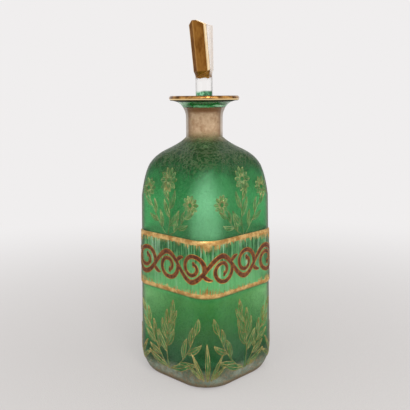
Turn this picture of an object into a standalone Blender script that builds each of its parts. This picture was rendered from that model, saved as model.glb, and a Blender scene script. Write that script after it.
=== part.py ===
"""Square decanter of frosted green glass with a ground-in stopper of clear cut glass.

Units are metres, +Z is up and the origin is the centre of the foot, on the table.
The four faces look along +X, -X, +Y and -Y. The bottle and its stopper are the two
pieces that the real object comes apart into: gilding and enamel are fired onto the glass.
"""

import math

import bmesh
import bpy
from mathutils import Matrix, Vector

for leftover in list(bpy.data.objects):
    bpy.data.objects.remove(leftover, do_unlink=True)

# Body: a rounded square in plan, a little wider at the heel than at the shoulder
BODY_HALF_TOP = 0.0366
BODY_HALF_HEEL = 0.0381
BODY_CORNER_RADIUS = 0.0147
WALL = 0.004
WALL_HEIGHT = 0.112

# Heel and foot: the wall rolls under to a smaller, rounder footprint
HEEL_HEIGHT = 0.018
HEEL_INSET = 0.0055
FOOT_CORNER_RADIUS = 0.0224
FLOOR = 0.009
KICK_RADIUS = 0.019
KICK_DEPTH = 0.0015
WALL_FOOT = HEEL_HEIGHT
WALL_TOP = WALL_FOOT + WALL_HEIGHT

# Band: a low raised belt left by the etching, all round the body
BAND_BOTTOM = 0.0667
BAND_HEIGHT = 0.0389
BAND_RISE = 0.0006
BAND_EDGE = 0.0008

# Neck: a bore for the stopper, and the wall around it
BORE_RADIUS = 0.0079
BORE_DEPTH = 0.020
BORE_TAPER_SHARE = 0.05
BORE_END_STEP = 0.0012
INNER_NECK_HEIGHT = 0.0064
NECK_WALL = 0.005
NECK_HEIGHT = 0.0135
SHOULDER_HEIGHT = 0.0415
NECK_RADIUS = BORE_RADIUS + NECK_WALL
NECK_FOOT = WALL_TOP + SHOULDER_HEIGHT
NECK_TOP = NECK_FOOT + NECK_HEIGHT

# Lip: the neck flares out to a thin flat disc with a rounded rim and a dished top
FLARE_HEIGHT = 0.0117
LIP_RADIUS = 0.0246
LIP_THICKNESS = 0.0033
LIP_ROUND = 0.0014
LIP_LAND = 0.0018
DISH_DEPTH = 0.0035
MOUTH_ROUND = 0.0014
LIP_FOOT = NECK_TOP + FLARE_HEIGHT
LIP_TOP = LIP_FOOT + LIP_THICKNESS
BORE_TOP = LIP_TOP - DISH_DEPTH - MOUTH_ROUND
BORE_END = BORE_TOP - BORE_DEPTH

# Stopper: a ground plug in the bore, a round shank and a flat fan-shaped blade
SEAT_GAP = 0.0003
PLUG_LENGTH = 0.017
PLUG_CHAMFER = 0.0008
SHANK_RADIUS = 0.00587
SHANK_HEIGHT = 0.0103
SHANK_FILLET = 0.0034
BLADE_SHOULDER_RISE = 0.0068
BLADE_RISE = 0.0334
BLADE_SHOULDER_HALF = 0.0096
BLADE_TOP_HALF = 0.0181
BLADE_THICKNESS = 0.0118
BLADE_OVERLAP = 0.003
BLADE_TURN = math.radians(35)
BLADE_LEAN = math.radians(-2.2)
BLADE_TIP = math.radians(-3.5)

# Hand-cut edges of the blade: wide on its +Y side, narrow on its -Y side
WIDE_CHAMFER = 0.0031
NARROW_CHAMFER = 0.0012
STEEP_BEVEL_RUN = 0.0025
FLAT_BEVEL_RUN = 0.006
TOP_BEVEL_DROP = 0.0028

# Shares of the height of a curve and of its reach, chosen by hand
SHOULDER_SHARES = (
    (0.14, 0.972),
    (0.28, 0.935),
    (0.42, 0.883),
    (0.53, 0.822),
    (0.62, 0.738),
    (0.70, 0.625),
    (0.765, 0.492),
    (0.825, 0.335),
    (0.88, 0.205),
    (0.935, 0.095),
)
DISH_SHARES = ((0.30, 0.18), (0.60, 0.48), (0.85, 0.80))

# Points this close to the axis or to each other are one point
WELD_DISTANCE = 0.000003

# Facet counts
CORNER_STEPS = 7
FACE_STEPS = 7
CURVE_STEPS = 5
TURN_STEPS = 48
CORNER_SPREAD = math.radians(27)

QUARTER = math.pi / 2
ROOT_TWO = math.sqrt(2)


def ring_angles():
    """Directions of a ring's points: close together at the four corners, wider on the faces."""
    angles = []
    for quarter in range(4):
        middle = quarter * QUARTER
        face_half = (QUARTER - CORNER_SPREAD) / 2
        angles += [middle - face_half + 2 * face_half * i / FACE_STEPS for i in range(FACE_STEPS)]
        start = middle + face_half
        angles += [start + CORNER_SPREAD * i / CORNER_STEPS for i in range(CORNER_STEPS)]
    return angles


def rounded_square_reach(half, corner, angle):
    """Distance from the axis to a rounded square's outline in one direction."""
    turned = abs((angle + QUARTER / 2) % QUARTER - QUARTER / 2)
    arc_centre = half - corner
    along = math.cos(turned)
    if half * math.tan(turned) <= arc_centre:
        return half / along
    towards = arc_centre * (along + math.sin(turned))
    return towards + math.sqrt(max(towards**2 - 2 * arc_centre**2 + corner**2, 0))


def diagonal(half, corner):
    """Distance from the axis to the middle of a rounded square's corner."""
    return (half - corner) * ROOT_TWO + corner


def blended_section(neck_radius, half, corner, share):
    """Section between the round neck, at share 0, and the square body, at share 1."""
    full = diagonal(half, corner)
    reach = neck_radius + (full - neck_radius) * share
    squareness = share * share * (3 - 2 * share)
    section_half = reach * (1 - (1 - half / full) * squareness)
    section_corner = (section_half * ROOT_TWO - reach) / (ROOT_TWO - 1)
    return section_half, section_corner


def quarter_steps(steps=CURVE_STEPS):
    """Angles that divide a quarter turn, without its first."""
    return [QUARTER * i / steps for i in range(1, steps + 1)]


def body_half(height):
    """Half the width across the faces of the plain wall at a height."""
    share = (height - WALL_FOOT) / WALL_HEIGHT
    return BODY_HALF_HEEL + (BODY_HALF_TOP - BODY_HALF_HEEL) * share


def outer_stations():
    """(height, half width, corner radius) up the outside, from the kick under the foot to the rim."""
    stations = [(KICK_DEPTH, KICK_RADIUS / 2, KICK_RADIUS / 2), (0, KICK_RADIUS, KICK_RADIUS)]
    foot_half = BODY_HALF_HEEL - HEEL_INSET
    stations.append((0, foot_half, FOOT_CORNER_RADIUS))
    for angle in quarter_steps(6):
        roll = math.sin(angle)
        height = HEEL_HEIGHT * (1 - math.cos(angle))
        corner = FOOT_CORNER_RADIUS + (BODY_CORNER_RADIUS - FOOT_CORNER_RADIUS) * roll
        stations.append((height, foot_half + HEEL_INSET * roll, corner))
    band_top = BAND_BOTTOM + BAND_HEIGHT
    for height, rise in (
        (BAND_BOTTOM, 0),
        (BAND_BOTTOM + BAND_EDGE, BAND_RISE),
        (band_top - BAND_EDGE, BAND_RISE),
        (band_top, 0),
        (WALL_TOP, 0),
    ):
        stations.append((height, body_half(height) + rise, BODY_CORNER_RADIUS + rise))
    for up, reach in SHOULDER_SHARES:
        section = blended_section(NECK_RADIUS, BODY_HALF_TOP, BODY_CORNER_RADIUS, reach)
        stations.append((WALL_TOP + SHOULDER_HEIGHT * up, *section))
    stations += [(NECK_FOOT, NECK_RADIUS, NECK_RADIUS), (NECK_TOP, NECK_RADIUS, NECK_RADIUS)]
    flare = LIP_RADIUS - LIP_ROUND - NECK_RADIUS
    for angle in quarter_steps():
        radius = NECK_RADIUS + flare * (1 - math.cos(angle))
        stations.append((NECK_TOP + FLARE_HEIGHT * math.sin(angle), radius, radius))
    return stations + rim_stations()


def rim_stations():
    """The lip's rounded rim, its flat land and its dish, in to the top of the bore."""
    stations = []
    for turn in range(1, 2 * CURVE_STEPS):
        angle = math.pi * turn / (2 * CURVE_STEPS) - QUARTER
        radius = LIP_RADIUS - LIP_ROUND + LIP_ROUND * math.cos(angle)
        height = LIP_FOOT + LIP_THICKNESS * (1 + math.sin(angle)) / 2
        stations.append((height, radius, radius))
    land = LIP_RADIUS - LIP_ROUND
    inner = land - LIP_LAND
    mouth = BORE_RADIUS + MOUTH_ROUND
    stations += [(LIP_TOP, land, land), (LIP_TOP, inner, inner)]
    for inward, down in DISH_SHARES:
        radius = inner + (mouth - inner) * inward
        stations.append((LIP_TOP - DISH_DEPTH * down, radius, radius))
    for angle in [0, *quarter_steps(3)]:
        radius = mouth - MOUTH_ROUND * math.sin(angle)
        height = LIP_TOP - DISH_DEPTH - MOUTH_ROUND * (1 - math.cos(angle))
        stations.append((height, radius, radius))
    return stations


def bore_radius(height):
    """Radius of the ground taper in the neck at a height."""
    return BORE_RADIUS - BORE_TAPER_SHARE * (BORE_TOP - height)


def inner_stations():
    """(height, half width, corner radius) down the inside, from the end of the bore to the floor."""
    step = BORE_END_STEP
    neck = bore_radius(BORE_END) + step
    stations = [
        (BORE_END, bore_radius(BORE_END), bore_radius(BORE_END)),
        (BORE_END - step, neck, neck),
    ]
    half, corner = BODY_HALF_TOP - WALL, BODY_CORNER_RADIUS - WALL
    rise = BORE_END - step - INNER_NECK_HEIGHT - WALL_TOP
    for up, reach in reversed(SHOULDER_SHARES):
        stations.append((WALL_TOP + rise * up, *blended_section(neck, half, corner, reach)))
    stations.append((WALL_TOP, half, corner))
    heel_half = BODY_HALF_HEEL - WALL
    stations.append((FLOOR + HEEL_HEIGHT - WALL, heel_half, corner))
    inner_roll = HEEL_HEIGHT - WALL
    for angle in reversed(quarter_steps()[:-1]):
        roll = math.sin(angle)
        grown = corner + (FOOT_CORNER_RADIUS - BODY_CORNER_RADIUS) * (1 - roll)
        inset = HEEL_INSET + WALL
        height = FLOOR + inner_roll * (1 - math.cos(angle))
        stations.append((height, heel_half - inset * (1 - roll), grown))
    floor_half = heel_half - HEEL_INSET - WALL
    floor_corner = corner + FOOT_CORNER_RADIUS - BODY_CORNER_RADIUS
    stations.append((FLOOR, floor_half, floor_corner))
    stations.append((FLOOR, floor_half / 2, floor_half / 2))
    return stations


def glass(name, colour, roughness, transmission):
    """A glass material with its colour, surface and how much light it lets through."""
    material = bpy.data.materials.new(name)
    material.use_nodes = True
    shader = material.node_tree.nodes["Principled BSDF"]
    shader.inputs["Base Color"].default_value = (*colour, 1)
    shader.inputs["Roughness"].default_value = roughness
    shader.inputs["Metallic"].default_value = 0
    shader.inputs["IOR"].default_value = 1.5
    shader.inputs["Transmission Weight"].default_value = transmission
    return material


def add_object(name, mesh, material=None):
    """Links a mesh to the scene as a named object, smooth but for its sharp edges."""
    item = bpy.data.objects.new(name, mesh)
    bpy.context.scene.collection.objects.link(item)
    if material:
        mesh.materials.append(material)
    mesh.shade_smooth()
    mesh.set_sharp_from_angle(angle=math.radians(35))
    return item


def skin_mesh(name, stations, bottom_height, top_height):
    """A closed skin through rings, one for each station, with a pole in the middle of each end."""
    mesh = bpy.data.meshes.new(name)
    skin = bmesh.new()
    angles = ring_angles()
    rings = []
    for height, half, corner in stations:
        reaches = [rounded_square_reach(half, corner, angle) for angle in angles]
        rings.append(
            [
                skin.verts.new((reach * math.cos(angle), reach * math.sin(angle), height))
                for reach, angle in zip(reaches, angles)
            ]
        )
    count = len(angles)
    for lower, upper in zip(rings, rings[1:]):
        for i in range(count):
            j = (i + 1) % count
            skin.faces.new((lower[i], lower[j], upper[j], upper[i]))
    for ring, height in ((rings[0], bottom_height), (rings[-1], top_height)):
        pole = skin.verts.new((0, 0, height))
        for i in range(count):
            skin.faces.new((ring[i], ring[(i + 1) % count], pole))
    bmesh.ops.recalc_face_normals(skin, faces=skin.faces)
    skin.to_mesh(mesh)
    skin.free()
    return mesh


def turned_mesh(name, profile):
    """A round piece: a profile of (radius, height), which starts and ends on the axis, spun about Z."""
    mesh = bpy.data.meshes.new(name)
    spun = bmesh.new()
    points = [spun.verts.new((radius, 0, height)) for radius, height in profile]
    edges = [spun.edges.new(pair) for pair in zip(points, points[1:])]
    bmesh.ops.spin(
        spun,
        geom=points + edges,
        axis=(0, 0, 1),
        cent=(0, 0, 0),
        angle=2 * math.pi,
        steps=TURN_STEPS,
    )
    bmesh.ops.remove_doubles(spun, verts=spun.verts, dist=WELD_DISTANCE)
    bmesh.ops.recalc_face_normals(spun, faces=spun.faces)
    spun.to_mesh(mesh)
    spun.free()
    return mesh


def grind(solid, point, outward):
    """Grinds a flat facet: takes off all that lies past a plane and closes the cut."""
    everything = solid.verts[:] + solid.edges[:] + solid.faces[:]
    cut = bmesh.ops.bisect_plane(
        solid, geom=everything, plane_co=point, plane_no=outward, clear_outer=True
    )
    rim = [item for item in cut["geom_cut"] if isinstance(item, bmesh.types.BMEdge)]
    bmesh.ops.edgeloop_fill(solid, edges=rim)


def blade_mesh(name):
    """The blade: a block of glass, ground to a fan with slanting edges and bevelled corners.

    Its width lies along X and its thickness along Y, and Z = 0 is where it leaves the shank.
    """
    half_thick = BLADE_THICKNESS / 2
    shoulder = BLADE_SHOULDER_RISE
    top = shoulder + BLADE_RISE
    height = top + BLADE_OVERLAP
    size = Matrix.Diagonal((2 * BLADE_TOP_HALF, BLADE_THICKNESS, height, 1))
    mesh = bpy.data.meshes.new(name)
    block = bmesh.new()
    bmesh.ops.create_cube(block, size=1, matrix=Matrix.Translation((0, 0, top - height / 2)) @ size)
    slant = Vector((BLADE_RISE, 0, BLADE_SHOULDER_HALF - BLADE_TOP_HALF)).normalized()
    under = Vector((BLADE_SHOULDER_RISE, 0, SHANK_RADIUS - BLADE_SHOULDER_HALF)).normalized()
    corner_reach = (BLADE_SHOULDER_HALF + half_thick) / ROOT_TWO
    for end in (-1, 1):
        edge = Vector((end * BLADE_SHOULDER_HALF, 0, shoulder))
        grind(block, edge, (end * slant.x, 0, slant.z))
        grind(block, edge, (end * under.x, 0, under.z))
        for side, chamfer in ((1, WIDE_CHAMFER), (-1, NARROW_CHAMFER)):
            reach = SHANK_RADIUS / ROOT_TWO
            out = BLADE_SHOULDER_RISE / ROOT_TWO
            low = Vector((end * reach, side * reach, 0))
            grind(block, low, (end * out, side * out, SHANK_RADIUS - corner_reach))
            crease = edge + Vector((0, side * (half_thick - chamfer), 0))
            grind(block, crease, (end * slant.x, side, slant.z))
    for side, run in ((1, STEEP_BEVEL_RUN), (-1, FLAT_BEVEL_RUN)):
        crease = (0, side * (half_thick - run), top)
        grind(block, crease, (0, side * TOP_BEVEL_DROP, run))
    bmesh.ops.recalc_face_normals(block, faces=block.faces)
    block.to_mesh(mesh)
    block.free()
    return mesh


def build_bottle():
    """The blown bottle: one closed skin of glass, open at the mouth."""
    green = glass("green_glass", (0.05, 0.30, 0.11), 0.45, 0.6)
    stations = outer_stations() + inner_stations()
    return add_object("bottle", skin_mesh("bottle", stations, KICK_DEPTH, FLOOR), green)


def plug_radius(down):
    """Radius of the ground plug below the top of the bore, with its gap square to the taper."""
    return bore_radius(BORE_TOP - down) - SEAT_GAP * math.hypot(1, BORE_TAPER_SHARE)


def build_stopper():
    """The stopper: a turned plug and shank, joined to a blade that is ground flat.

    Its origin is on the axis that it lifts along, level with the top of the bore.
    """
    fillet_reach = plug_radius(0) - SHANK_RADIUS
    blade_root = LIP_TOP - BORE_TOP + SHANK_HEIGHT
    shank_top = blade_root + BLADE_OVERLAP
    profile = [
        (0, -PLUG_LENGTH),
        (plug_radius(PLUG_LENGTH) - PLUG_CHAMFER, -PLUG_LENGTH),
        (plug_radius(PLUG_LENGTH - PLUG_CHAMFER), PLUG_CHAMFER - PLUG_LENGTH),
        (plug_radius(0), 0),
    ]
    for angle in quarter_steps():
        radius = SHANK_RADIUS + fillet_reach * (1 - math.sin(angle))
        profile.append((radius, SHANK_FILLET * (1 - math.cos(angle))))
    profile += [(SHANK_RADIUS, shank_top), (0, shank_top)]
    clear = glass("clear_glass", (0.93, 0.95, 0.94), 0.04, 0.95)
    stopper = add_object("stopper", turned_mesh("stopper", profile), clear)
    stopper.location = (0, 0, BORE_TOP)

    blade = add_object("blade_shape", blade_mesh("blade_shape"))
    blade.parent = stopper
    blade.location = (0, 0, blade_root)
    blade.rotation_euler = (BLADE_LEAN, BLADE_TIP, BLADE_TURN)
    blade.hide_render = True
    blade.display_type = "WIRE"
    join = stopper.modifiers.new("blade_on_shank", "BOOLEAN")
    join.operation = "UNION"
    join.solver = "EXACT"
    join.object = blade
    return stopper


build_bottle()
build_stopper()
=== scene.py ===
import bpy
import numpy as np
from mathutils import Matrix, Vector


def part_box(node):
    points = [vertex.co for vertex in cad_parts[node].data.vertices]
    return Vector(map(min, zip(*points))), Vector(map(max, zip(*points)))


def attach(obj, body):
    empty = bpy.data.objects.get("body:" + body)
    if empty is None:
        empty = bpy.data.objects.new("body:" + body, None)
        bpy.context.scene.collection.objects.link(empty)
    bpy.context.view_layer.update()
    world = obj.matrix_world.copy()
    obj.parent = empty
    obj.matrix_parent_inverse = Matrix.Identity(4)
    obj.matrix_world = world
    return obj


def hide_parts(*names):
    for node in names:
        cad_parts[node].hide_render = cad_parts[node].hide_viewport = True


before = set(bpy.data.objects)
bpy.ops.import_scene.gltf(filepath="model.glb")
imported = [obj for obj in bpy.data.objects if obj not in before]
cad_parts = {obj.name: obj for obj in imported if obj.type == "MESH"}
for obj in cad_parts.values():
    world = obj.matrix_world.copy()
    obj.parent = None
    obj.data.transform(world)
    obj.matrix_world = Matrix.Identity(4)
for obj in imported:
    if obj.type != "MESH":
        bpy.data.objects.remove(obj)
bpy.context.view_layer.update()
scene = bpy.context.scene

# The bottle: thick green glass blown into a square mould, its neck drawn in and its lip spread flat.
# Acid has eaten the outside back by a few tenths of a millimetre and left it frosted, apart from the
# lip's fire-polished underside. One closed skin stands for the CAD's faceted bottle.

foot_at, lip_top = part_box("bottle")[0][2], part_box("bottle")[1][2]
heel_half, shoulder_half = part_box("bottle")[1][0], 0.0366
wall_corner, wall_glass = 0.0147, 0.004
wall_low, wall_high = 0.018, 0.13

foot_inset, foot_corner = 0.0055, 0.0224
floor_up = 0.009
kick_radius, kick_up = 0.019, 0.0015

belt_low, belt_high = 0.0667, 0.1056
belt_proud, belt_edge = 0.0006, 0.0008
etched_away, etched_low, etched_high = 0.0004, 0.001, 0.006

neck_radius, neck_low, neck_high = 0.0129, 0.1715, 0.185
bore_radius, bore_low, bore_high, bore_taper = 0.0079, 0.1751, 0.1951, 0.05
bore_step = 0.0012
inner_neck_low = 0.1675

lip_radius, lip_low = 0.0246, lip_top - 0.0033
lip_round, lip_land = 0.0014, 0.0018
dish_down, mouth_round = 0.0035, 0.0014

# The shoulder's reach and the dish's depth as shares: (place along it, how much of it is left or reached).
shoulder_shares = np.array([
    (0.0, 1.0), (0.14, 0.972), (0.28, 0.935), (0.42, 0.883), (0.53, 0.822), (0.62, 0.738), (0.7, 0.625),
    (0.765, 0.492), (0.825, 0.335), (0.88, 0.205), (0.935, 0.095), (1.0, 0.0),
])
dish_shares = np.array([(0.0, 0.0), (0.3, 0.18), (0.6, 0.48), (0.85, 0.8), (1.0, 1.0)])


def through(knots, at):
    """A smooth curve through knots (place, value): between two knots it is the cubic whose slope at
    each end is the slope of the line between that knot's two neighbours."""
    place, value = knots.T
    slope = np.gradient(value, place)
    left = np.clip(np.searchsorted(place, at, side="right") - 1, 0, len(place) - 2)
    right, span = left + 1, place[left + 1] - place[left]
    t = (at - place[left]) / span
    from_left = (value[left] * (1 + 2 * t) + slope[left] * span * t) * (1 - t) ** 2
    return from_left + (value[right] * (3 - 2 * t) - slope[right] * span * (1 - t)) * t * t


def ramp(low, high, at):
    """0 below low, 1 above high, and a straight line between them."""
    return np.clip((at - low) / (high - low), 0, 1)


def eased(low, high, at):
    """0 below low, 1 above high, and the S-shaped cubic 3t^2 - 2t^3 between them."""
    t = ramp(low, high, at)
    return t * t * (3 - 2 * t)


def shoulder_section(up, neck, half, corner):
    """Half width and corner radius of the shoulder at a share of its height: the diagonal reach falls
    to the neck's radius along the shoulder curve while the square turns round."""
    full = (half - corner) * np.sqrt(2) + corner
    share = through(shoulder_shares, up)
    reach = neck + (full - neck) * share
    width = reach * (1 - (1 - half / full) * eased(0, 1, share))
    return width, (width * np.sqrt(2) - reach) / (np.sqrt(2) - 1)


def outer_section(height):
    """Half width and corner radius of the outside at a height: a quarter ellipse at the heel, a wall
    that leans in a little, the belt, the shoulder, a straight neck and a quarter ellipse to the lip."""
    roll = np.sqrt(1 - (1 - ramp(foot_at, wall_low, height)) ** 2)
    lean, up = ramp(wall_low, wall_high, height), ramp(wall_high, neck_low, height)
    belt = eased(belt_low, belt_low + belt_edge, height) - eased(belt_high - belt_edge, belt_high, height)
    offset = belt * belt_proud - eased(etched_low, etched_high, height) * etched_away
    half = heel_half + (shoulder_half - heel_half) * lean - foot_inset * (1 - roll) + offset
    corner = foot_corner + (wall_corner - foot_corner) * roll + offset
    upper = shoulder_section(up, neck_radius, shoulder_half - etched_away, wall_corner - etched_away)
    half, corner = np.where(height > wall_high, upper, (half, corner))
    flare = 1 - np.sqrt(1 - ramp(neck_high, lip_low, height) ** 2)
    half = half + (lip_radius - lip_round - neck_radius) * flare
    return half, np.where(height > neck_high, half, corner)


def around(share, half, corner):
    """x and y of a rounded square at a share of its length, counted from the middle of the +X face:
    straight along a face, then an arc of the corner radius."""
    face = np.round(share * 4)
    straight = half - corner
    along = (share * 4 - face) * (2 * straight + corner * np.pi / 2)
    turn = np.maximum(np.abs(along) - straight, 0) / np.maximum(corner, 1e-9)
    out = straight + corner * np.cos(turn)
    side = np.sign(along) * (np.minimum(np.abs(along), straight) + corner * np.sin(turn))
    cos, sin = np.cos(face * np.pi / 2), np.sin(face * np.pi / 2)
    return out * cos - side * sin, out * sin + side * cos


def at_height(x, y, height):
    """Points from x, y and a height, which may be one height for a whole ring."""
    return np.stack(np.broadcast_arrays(x, y, height), axis=-1)


def skin(share, height):
    """The point of the outside at a share of the way round and a height."""
    return at_height(*around(share, *outer_section(height)), height)


def new_piece(name, points, faces, materials, smooth_angle=0.6):
    """A mesh object from an array of points and lists of faces, shaded smooth up to an angle."""
    mesh = bpy.data.meshes.new(name)
    mesh.from_pydata(points.reshape(-1, 3), [], faces)
    mesh.shade_smooth()
    mesh.set_sharp_from_angle(angle=smooth_angle)
    mesh.validate()
    for material in materials:
        mesh.materials.append(material)
    piece = bpy.data.objects.new(name, mesh)
    scene.collection.objects.link(piece)
    return piece


def ring_faces(start, items, rows, columns, hoop):
    """Quads between the rings of every item. A hoop's last ring joins its first; any other body ends in
    fans of triangles onto two poles, which come after all the rings."""
    ring, item = np.arange(columns), np.arange(items)[:, None]
    beside = (ring + 1) % columns
    first = start + item * rows * columns
    row = np.arange(rows if hoop else rows - 1)[:, None]
    here, above = first[:, None] + row * columns, first[:, None] + (row + 1) % rows * columns
    quads = np.stack([here + ring, here + beside, above + beside, above + ring], axis=-1).reshape(-1, 4)
    if hoop:
        return quads.tolist()
    last, pole = first + (rows - 1) * columns, start + items * rows * columns + 2 * item + 0 * ring
    low = np.stack([first + beside, first + ring, pole], axis=-1).reshape(-1, 3)
    high = np.stack([last + ring, last + beside, pole + 1], axis=-1).reshape(-1, 3)
    return quads.tolist() + low.tolist() + high.tolist()


def ring_piece(name, materials, bodies, hoops=(), smooth_angle=0.6):
    """One mesh from hoops[row, column, xyz] and from sets of closed bodies[item, row, column, xyz],
    whose poles are the middles of their end rings."""
    points, faces = [], []
    for rings, hoop in [(hoop[None], True) for hoop in hoops] + [(body, False) for body in bodies]:
        faces += ring_faces(sum(map(len, points)), *rings.shape[:3], hoop)
        points.append(rings.reshape(-1, 3))
        if not hoop:
            points.append(rings[:, [0, -1]].mean(axis=2).reshape(-1, 3))
    return new_piece(name, np.concatenate(points), faces, materials, smooth_angle)


def rows(height, half, corner=None):
    """Rows of heights, half widths and corner radii; without a corner radius they are circles."""
    return at_height(height, half, half if corner is None else corner)


def steps(low, high, count):
    """Even steps from low up to just under high."""
    return np.linspace(low, high, count, endpoint=False)


def bottle_rings(columns=240):
    """Rings of the whole skin, from the hollow under the foot up the outside, over the lip, down the
    bore and the inside to the floor: each ring is a rounded square or a circle at one height."""
    quarter = np.linspace(0, np.pi / 2, 12)[1:]
    half_turn = np.linspace(-np.pi / 2, np.pi / 2, 18)[1:-1]
    kick = np.linspace(0.1, 1, 6)
    foot = np.linspace(0, 1, 4)[1:-1]
    low = [
        rows(foot_at + kick_up * (1 - kick**3), kick_radius * kick),
        rows(foot_at, kick_radius + (heel_half - foot_inset - kick_radius) * foot,
             kick_radius + (foot_corner - kick_radius) * foot),
    ]
    belt = [belt_low, belt_low + belt_edge, belt_high - belt_edge, belt_high]
    knots = [wall_low, *belt, wall_high, neck_low, neck_high]
    heights = np.concatenate([
        wall_low * (1 - np.cos(np.linspace(0, np.pi / 2, 21, endpoint=False))),
        *map(steps, knots, knots[1:], (25, 5, 19, 5, 13, 43, 7)),
        neck_high + (lip_low - neck_high) * np.sin(np.linspace(0, np.pi / 2, 18)),
    ])
    outside = rows(heights, *outer_section(heights))
    land = lip_radius - lip_round
    inner, mouth = land - lip_land, bore_radius + mouth_round
    dish, dish_at = np.linspace(0, 1, 14), lip_top - dish_down
    rim_up = (1 + np.sin(half_turn)) / 2
    lip = [
        rows(lip_low + (lip_top - lip_low) * rim_up, land + lip_round * np.cos(half_turn)),
        rows(lip_top, np.array([land, (land + inner) / 2])),
        rows(lip_top - dish_down * through(dish_shares, dish), inner + (mouth - inner) * dish),
        rows(dish_at - mouth_round * (1 - np.cos(quarter)), mouth - mouth_round * np.sin(quarter)),
    ]
    bore_down = np.linspace(bore_high, bore_low, 6)[1:]
    bore = bore_radius - bore_taper * (bore_high - bore_down)
    inner_neck = bore[-1] + bore_step
    inner_up = np.linspace(1, 0, 34)
    inside_half, inside_corner = shoulder_half - wall_glass, wall_corner - wall_glass
    lean = np.linspace(0, 1, 10)[1:]
    inside_heel, inset = heel_half - wall_glass, foot_inset + wall_glass
    wide_at = wall_low - wall_glass
    floor = np.linspace(1, 0.1, 6)[1:]
    inside = [
        rows(bore_down, bore),
        rows(np.array([bore_low - bore_step, (bore_low + inner_neck_low) / 2]), inner_neck),
        rows(wall_high + (inner_neck_low - wall_high) * inner_up,
             *shoulder_section(inner_up, inner_neck, inside_half, inside_corner)),
        rows(wall_high + (wide_at + floor_up - wall_high) * lean,
             inside_half + (inside_heel - inside_half) * lean, inside_corner),
        rows(floor_up + wide_at * (1 - np.sin(quarter)), inside_heel - inset * (1 - np.cos(quarter)),
             inside_corner + (foot_corner - wall_corner) * (1 - np.cos(quarter))),
        rows(floor_up, (inside_heel - inset) * floor, (inside_corner + foot_corner - wall_corner) * floor),
    ]
    height, half, corner = np.concatenate([*low, outside, *lip, *inside])[:, :, None].transpose(1, 0, 2)
    lip_row = sum(map(len, low)) + len(outside)
    points = at_height(*around(np.arange(columns) / columns, half, corner), height)
    return points[None], lip_row, lip_row + sum(map(len, lip))


class Wire:
    """A value or colour that runs through a material. Arithmetic on a value adds its Math nodes."""

    def __init__(self, finish, socket):
        self.finish, self.socket = finish, socket

    def math(self, operation, first, second=0.0):
        return self.finish.node("Math", {"operation": operation}, {0: first, 1: second})

    def __add__(self, other):
        return self.math("ADD", self, other)

    def __sub__(self, other):
        return self.math("SUBTRACT", self, other)

    def __rsub__(self, other):
        return self.math("SUBTRACT", other, self)

    def __mul__(self, other):
        return self.math("MULTIPLY", self, other)

    __radd__, __rmul__ = __add__, __mul__

    def __or__(self, other):
        """The greater of two masks."""
        return self.math("MAXIMUM", self, other)

    def __abs__(self):
        return self.math("ABSOLUTE", self)

    def between(self, low, high):
        """0 where this value is low, 1 where it is high, eased between them and held outside."""
        settings = {"interpolation_type": "SMOOTHSTEP"}
        return self.finish.node("MapRange", settings, {0: self, 1: low, 2: high, 3: 0.0, 4: 1.0})

    def band(self, low, full, falling, gone):
        """0, then 1 from full to falling, then 0 again."""
        return self.between(low, full) - self.between(falling, gone)

    def stirred(self, noise, reach):
        """This value, moved up and down by a noise, half a reach each way."""
        return self + (noise - 0.5) * reach

    def into(self, colour, mask):
        """This colour, turned into another colour by a mask."""
        return self.finish.blend(self, colour, mask)


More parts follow.
